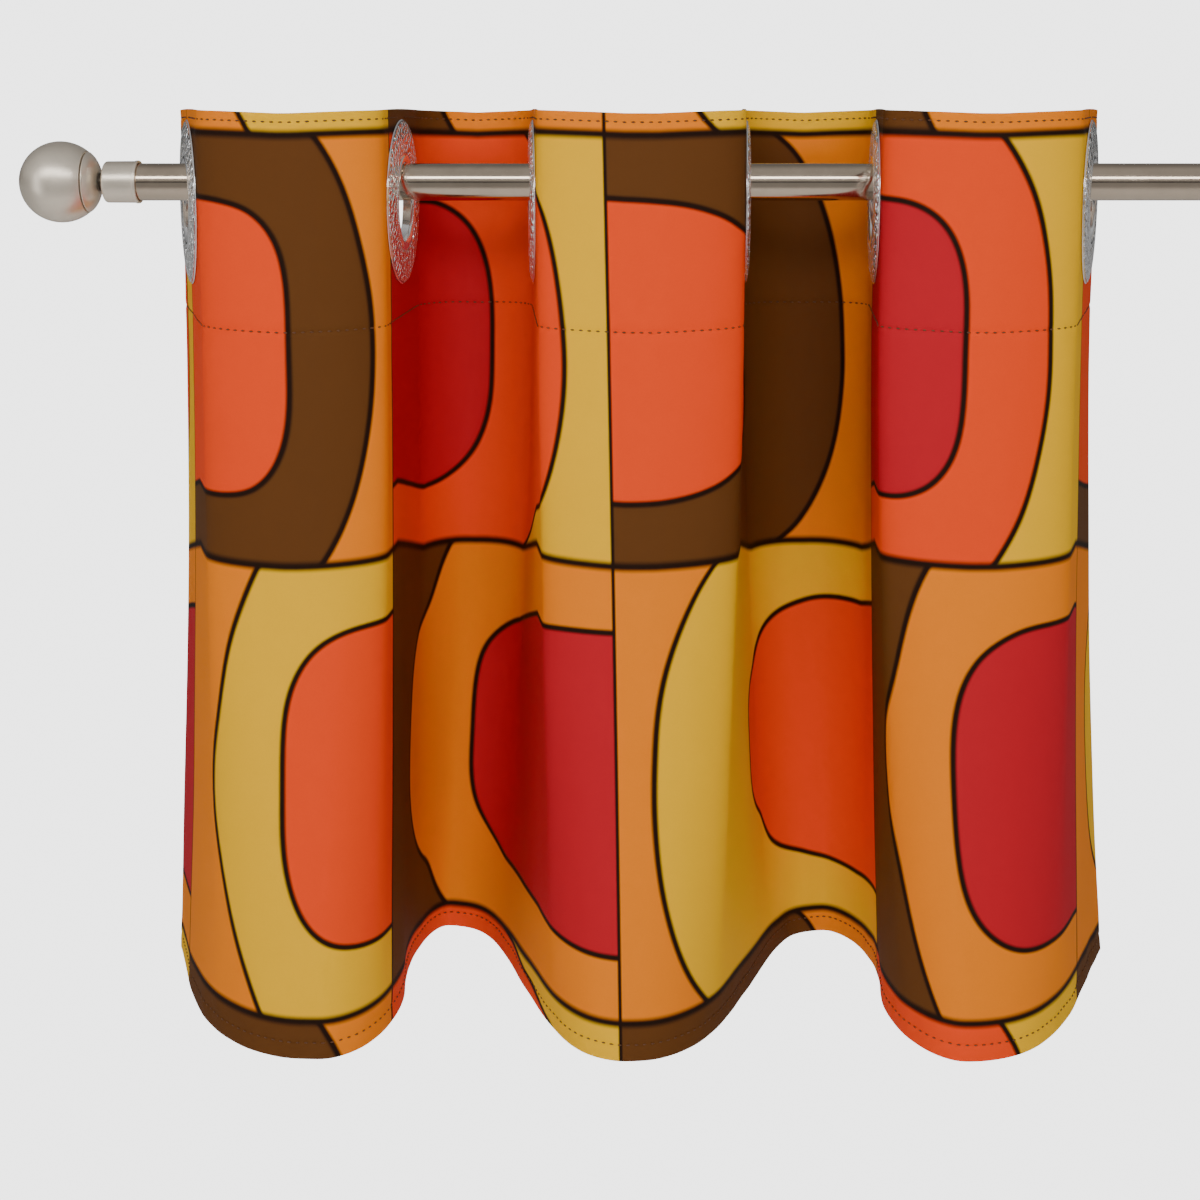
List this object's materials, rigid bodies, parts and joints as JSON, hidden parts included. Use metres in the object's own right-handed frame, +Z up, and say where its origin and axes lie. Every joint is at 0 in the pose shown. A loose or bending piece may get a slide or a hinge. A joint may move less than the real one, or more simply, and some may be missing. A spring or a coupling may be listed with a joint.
{
  "type": "eyelet curtain on a bracketed rod",
  "caption": "Short printed eyelet curtain hanging in deep folds on a round nickel rod with ball finials, carried by two screwed-on wall brackets.",
  "frame": {"origin": "middle of the left wall plate's back face, which lies on the wall", "axes": "+X along the rod towards the right bracket, +Y out of the plate's back face into the wall, +Z up; the folds face the room at -Y"},
  "size_m": [0.775, 0.174, 0.47],
  "materials": {
    "printed_cloth": "matte polyester weave with a bold retro print in yellow, orange, red and brown",
    "hammered_chrome": "hammered polished chrome",
    "polished_nickel": "polished warm nickel",
    "satin_nickel": "satin warm nickel",
    "zinc_steel": "zinc plated"
  },
  "bodies": {
    "brackets": {"left_wall_plate": "satin_nickel", "left_bracket_arm": "satin_nickel", "left_rod_cradle": "satin_nickel", "left_wall_screw_lower": "zinc_steel", "left_wall_screw_upper": "zinc_steel", "right_wall_plate": "satin_nickel", "right_bracket_arm": "satin_nickel", "right_rod_cradle": "satin_nickel", "right_wall_screw_lower": "zinc_steel", "right_wall_screw_upper": "zinc_steel"},
    "left_thumb_screw": {"left_thumb_screw": "satin_nickel"},
    "right_thumb_screw": {"right_thumb_screw": "satin_nickel"},
    "rod": {"rod_tube": "polished_nickel", "left_collar": "satin_nickel", "right_collar": "satin_nickel", "left_threaded_plug": "zinc_steel", "right_threaded_plug": "zinc_steel"},
    "left_finial": {"left_finial_ball": "satin_nickel", "left_finial_cap": "satin_nickel", "left_finial_stud": "zinc_steel"},
    "right_finial": {"right_finial_ball": "satin_nickel", "right_finial_cap": "satin_nickel", "right_finial_stud": "zinc_steel"},
    "eyelet_1": {"cloth_wall_1": "printed_cloth", "eyelet_1_front_ring": "hammered_chrome", "eyelet_1_back_ring": "hammered_chrome", "cloth_front_fold_1": "printed_cloth"},
    "eyelet_2": {"cloth_wall_2": "printed_cloth", "eyelet_2_front_ring": "hammered_chrome", "eyelet_2_back_ring": "hammered_chrome", "cloth_back_fold_1": "printed_cloth"},
    "eyelet_3": {"cloth_wall_3": "printed_cloth", "eyelet_3_front_ring": "hammered_chrome", "eyelet_3_back_ring": "hammered_chrome", "cloth_front_fold_2": "printed_cloth"},
    "eyelet_4": {"cloth_wall_4": "printed_cloth", "eyelet_4_front_ring": "hammered_chrome", "eyelet_4_back_ring": "hammered_chrome", "cloth_back_fold_2": "printed_cloth"},
    "eyelet_5": {"cloth_wall_5": "printed_cloth", "eyelet_5_front_ring": "hammered_chrome", "eyelet_5_back_ring": "hammered_chrome", "cloth_front_fold_3": "printed_cloth"},
    "eyelet_6": {"cloth_wall_6": "printed_cloth", "eyelet_6_front_ring": "hammered_chrome", "eyelet_6_back_ring": "hammered_chrome"}
  },
  "joints": [
    {"name": "rod_lift", "type": "slide", "parent": "brackets", "child": "rod", "axis": [0, 0, 1], "range_m": [0, 0.025]},
    {"name": "left_thumb_screw_turn", "type": "hinge", "parent": "brackets", "child": "left_thumb_screw", "pos_m": [0, -0.088, 0], "axis": [0, 0, 1], "continuous": true},
    {"name": "right_thumb_screw_turn", "type": "hinge", "parent": "brackets", "child": "right_thumb_screw", "pos_m": [0.54, -0.088, 0], "axis": [0, 0, 1], "continuous": true},
    {"name": "left_finial_turn", "type": "hinge", "parent": "rod", "child": "left_finial", "pos_m": [-0.0568, -0.088, 0.0181], "axis": [-1, 0, 0], "continuous": true},
    {"name": "right_finial_turn", "type": "hinge", "parent": "rod", "child": "right_finial", "pos_m": [0.5968, -0.088, 0.0181], "axis": [1, 0, 0], "continuous": true},
    {"name": "curtain_slide", "type": "slide", "parent": "rod", "child": "eyelet_1", "axis": [1, 0, 0], "range_m": [-0.015, 0.01]},
    {"name": "curtain_draw", "type": "slide", "parent": "eyelet_1", "child": "eyelet_2", "axis": [1, 0, 0], "range_m": [-0.042, 0.012]},
    {"name": "eyelet_3_draw", "type": "slide", "parent": "eyelet_2", "child": "eyelet_3", "axis": [1, 0, 0], "range_m": [-0.0252, 0.0072]},
    {"name": "eyelet_4_draw", "type": "slide", "parent": "eyelet_3", "child": "eyelet_4", "axis": [1, 0, 0], "range_m": [-0.042, 0.012]},
    {"name": "eyelet_5_draw", "type": "slide", "parent": "eyelet_4", "child": "eyelet_5", "axis": [1, 0, 0], "range_m": [-0.0252, 0.0072]},
    {"name": "eyelet_6_draw", "type": "slide", "parent": "eyelet_5", "child": "eyelet_6", "axis": [1, 0, 0], "range_m": [-0.042, 0.012]}
  ],
  "couplings": [
    {"joint": "eyelet_3_draw", "follows": "curtain_draw", "ratio": 0.6},
    {"joint": "eyelet_4_draw", "follows": "curtain_draw", "ratio": 1},
    {"joint": "eyelet_5_draw", "follows": "curtain_draw", "ratio": 0.6},
    {"joint": "eyelet_6_draw", "follows": "curtain_draw", "ratio": 1}
  ]
}
